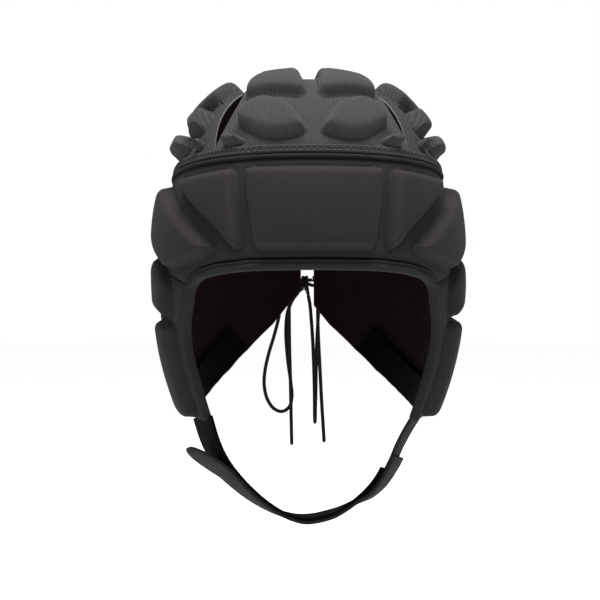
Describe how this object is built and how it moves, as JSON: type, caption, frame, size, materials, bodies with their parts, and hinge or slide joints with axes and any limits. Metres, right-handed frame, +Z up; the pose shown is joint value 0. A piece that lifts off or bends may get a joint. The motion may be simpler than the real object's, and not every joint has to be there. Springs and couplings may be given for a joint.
{
  "type": "rugby scrum cap",
  "caption": "Padded soft head guard with an open face, ear openings, a laced back with a bow, and a chin strap, in the form it has when worn.",
  "frame": {"origin": "the inside top of the crown, where the wearer's head meets the cap", "axes": "+Z up, -Y the way the wearer faces, +X to the wearer's left"},
  "size_m": [0.1594, 0.2122, 0.2309],
  "materials": {
    "shell_cloth": "matt knitted cloth over foam, charcoal black",
    "crown_cloth": "matt ribbed cloth over foam, charcoal",
    "tape_cloth": "matt woven tape, charcoal",
    "binding_cloth": "smooth folded binding, charcoal black",
    "strap_cloth": "matt webbing, black",
    "hook_cloth": "brushed loop fabric, deep black",
    "lace_cloth": "braided round lace, black"
  },
  "bodies": {
    "root": {"brow_panel": "shell_cloth", "side_panel_right": "shell_cloth", "side_panel_left": "shell_cloth", "rear_panel_right": "shell_cloth", "rear_panel_left": "shell_cloth", "crown_centre_panel": "crown_cloth", "crown_side_panel_right": "crown_cloth", "crown_side_panel_left": "crown_cloth", "crown_tape": "tape_cloth", "crown_piping": "tape_cloth", "face_binding": "binding_cloth", "strap_root_right": "hook_cloth", "strap_root_left": "hook_cloth", "strap_inner": "hook_cloth", "strap_tab": "strap_cloth", "strap_outer": "strap_cloth", "lace_loop_right_1": "tape_cloth", "lace_loop_right_2": "tape_cloth", "lace_loop_right_3": "tape_cloth", "lace_loop_left_1": "tape_cloth", "lace_loop_left_2": "tape_cloth", "lace_loop_left_3": "tape_cloth", "lace_cross_right": "lace_cloth", "lace_cross_left": "lace_cloth", "lace_knot": "lace_cloth", "lace_bow_right": "lace_cloth", "lace_bow_left": "lace_cloth", "lace_end_right": "lace_cloth", "lace_end_left": "lace_cloth"}
  },
  "joints": []
}
